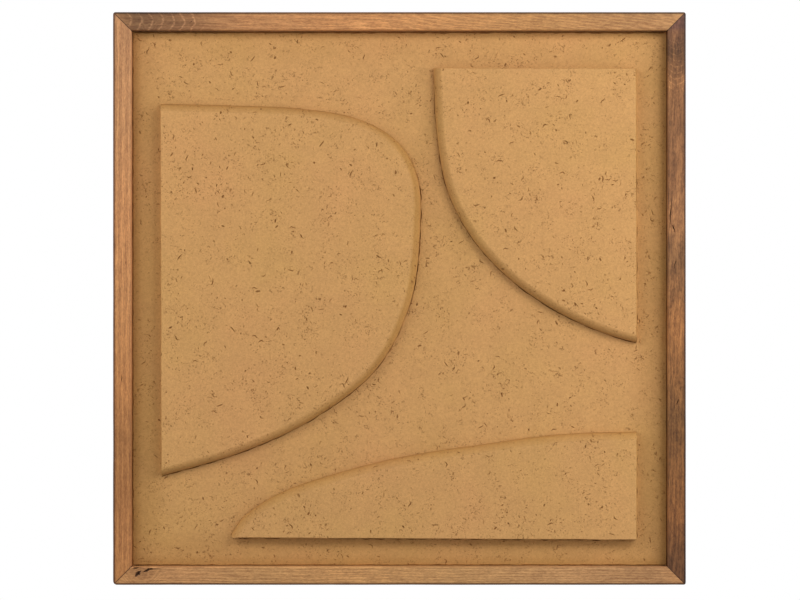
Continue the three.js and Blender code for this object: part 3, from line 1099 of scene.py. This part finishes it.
class WALLRELIEF_OT_frame(bpy.types.Operator):
    """Build the four mitred rails of stained wood"""

    bl_idname = "wallrelief.frame"
    bl_label = "Build Frame Rails"

    def execute(self, context):
        settings = context.scene.relief_frame
        block = corner_block(settings.corner_radius)
        checks = check_cutter()
        tree = worked_rail_tree()
        group = wood_group()
        for node in RAILS:
            shape = merged_copy(node)
            divide_long_edges(shape, RAIL_EDGE_STEP)
            stray(shape, settings.wander, RAIL_STRAY_LENGTH)
            close_mitres(shape, node in UPRIGHT_RAILS)
            piece = mesh_object(node.replace("frame_", "worked_"), shape)
            run_tree(piece, tree, {
                "Corner block": block, "Checks": checks, "Wood": wood_material(node, group)})
            shade(piece, math.radians(RAIL_SHARP_ANGLE))
            finish_piece(piece, node)
        bpy.data.objects.remove(block)
        bpy.data.objects.remove(checks)
        return {"FINISHED"}


# Stage

def soft_light(name, place, size, power):
    data = bpy.data.lights.new(name, "AREA")
    data.shape = "RECTANGLE"
    data.size, data.size_y = size
    data.energy = power
    light = bpy.data.objects.new(name, data)
    light.location = place
    light.rotation_euler = (place - panel_centre).to_track_quat("Z", "Y").to_euler()
    light.visible_camera = False
    bpy.context.scene.collection.objects.link(light)


def studio_world(ambient):
    """Light from all round that the camera sees as white."""
    world = bpy.data.worlds.new("studio")
    world.use_nodes = True
    tree = world.node_tree
    tree.nodes.clear()
    output = tree.nodes.new("ShaderNodeOutputWorld")
    felt = add_node(tree, "ShaderNodeBackground", {"Color": WHITE, "Strength": ambient}).outputs[0]
    seen = add_node(tree, "ShaderNodeBackground", {"Color": WHITE, "Strength": 1.0}).outputs[0]
    direct = add_node(tree, "ShaderNodeLightPath").outputs["Is Camera Ray"]
    both = add_node(tree, "ShaderNodeMixShader", {0: direct, 1: felt, 2: seen}).outputs[0]
    tree.links.new(both, output.inputs[0])
    return world


def photo_camera(settings):
    """A camera that looks straight at the panel, with the frame as wide as in the photograph."""
    data = bpy.data.cameras.new("camera")
    data.sensor_width = 36.0
    picture_width = panel_side / settings.side_in_view
    data.lens = data.sensor_width * settings.distance / picture_width
    metre_per_pixel = picture_width / PHOTO_WIDTH
    right, up = CAMERA_OFF_CENTRE
    off_centre = Vector((right * metre_per_pixel, 0.0, up * metre_per_pixel))
    camera = bpy.data.objects.new("camera", data)
    camera.location = Vector((panel_centre.x, panel_low.y - settings.distance, panel_centre.z)) + off_centre
    camera.rotation_euler = (math.radians(90), 0.0, 0.0)
    return camera


class WALLRELIEF_OT_stage(bpy.types.Operator):
    """Build the camera, the pale floor and the soft studio lights"""

    bl_idname = "wallrelief.stage"
    bl_label = "Build Stage"

    def execute(self, context):
        settings = context.scene.relief_stage
        scene = context.scene
        scene.view_settings.view_transform = "Standard"
        scene.view_settings.look = "None"
        scene.world = studio_world(settings.ambient)

        bpy.ops.mesh.primitive_plane_add(
            size=FLOOR_SIDE, location=(0.0, -FLOOR_TO_VIEWER, panel_low.z - FLOOR_BELOW))
        floor = context.object
        floor.name = "studio_floor"
        floor.data.materials.append(floor_material())

        for name, (offset, size, power) in SOFT_LIGHTS.items():
            soft_light(name, panel_centre + Vector(offset), size, power * settings.light)

        camera = photo_camera(settings)
        scene.collection.objects.link(camera)
        scene.camera = camera
        return {"FINISHED"}


class WALLRELIEF_PT_panel(bpy.types.Panel):
    """Lists the pieces and the stage"""

    bl_idname = "WALLRELIEF_PT_panel"
    bl_label = "Wall Relief"
    bl_space_type = "VIEW_3D"
    bl_region_type = "UI"
    bl_category = "Wall Relief"

    def draw(self, context):
        for operator in (WALLRELIEF_OT_stage, WALLRELIEF_OT_frame, WALLRELIEF_OT_coat):
            self.layout.operator(operator.bl_idname)
        for group in (context.scene.relief_coat, context.scene.relief_frame, context.scene.relief_stage):
            for name in group.bl_rna.properties.keys()[2:]:
                self.layout.prop(group, name)


CLASSES = (
    CoatSettings, FrameSettings, StageSettings,
    WALLRELIEF_OT_stage, WALLRELIEF_OT_frame, WALLRELIEF_OT_coat, WALLRELIEF_PT_panel,
)


def register():
    for cls in CLASSES:
        bpy.utils.register_class(cls)
    bpy.types.Scene.relief_coat = PointerProperty(type=CoatSettings)
    bpy.types.Scene.relief_frame = PointerProperty(type=FrameSettings)
    bpy.types.Scene.relief_stage = PointerProperty(type=StageSettings)


def unregister():
    del bpy.types.Scene.relief_stage
    del bpy.types.Scene.relief_frame
    del bpy.types.Scene.relief_coat
    for cls in reversed(CLASSES):
        bpy.utils.unregister_class(cls)


def clear_startup():
    """Removes the objects Blender starts with and keeps those of the frame."""
    for item in list(bpy.context.scene.objects):
        if item.type in {"LIGHT", "CAMERA"} or item.type == "MESH" and item.name not in frame["nodes"]:
            bpy.data.objects.remove(item)


def main():
    clear_startup()
    register()
    bpy.ops.wallrelief.stage()
    bpy.ops.wallrelief.frame()
    bpy.ops.wallrelief.coat()


if __name__ == "__main__":
    main()
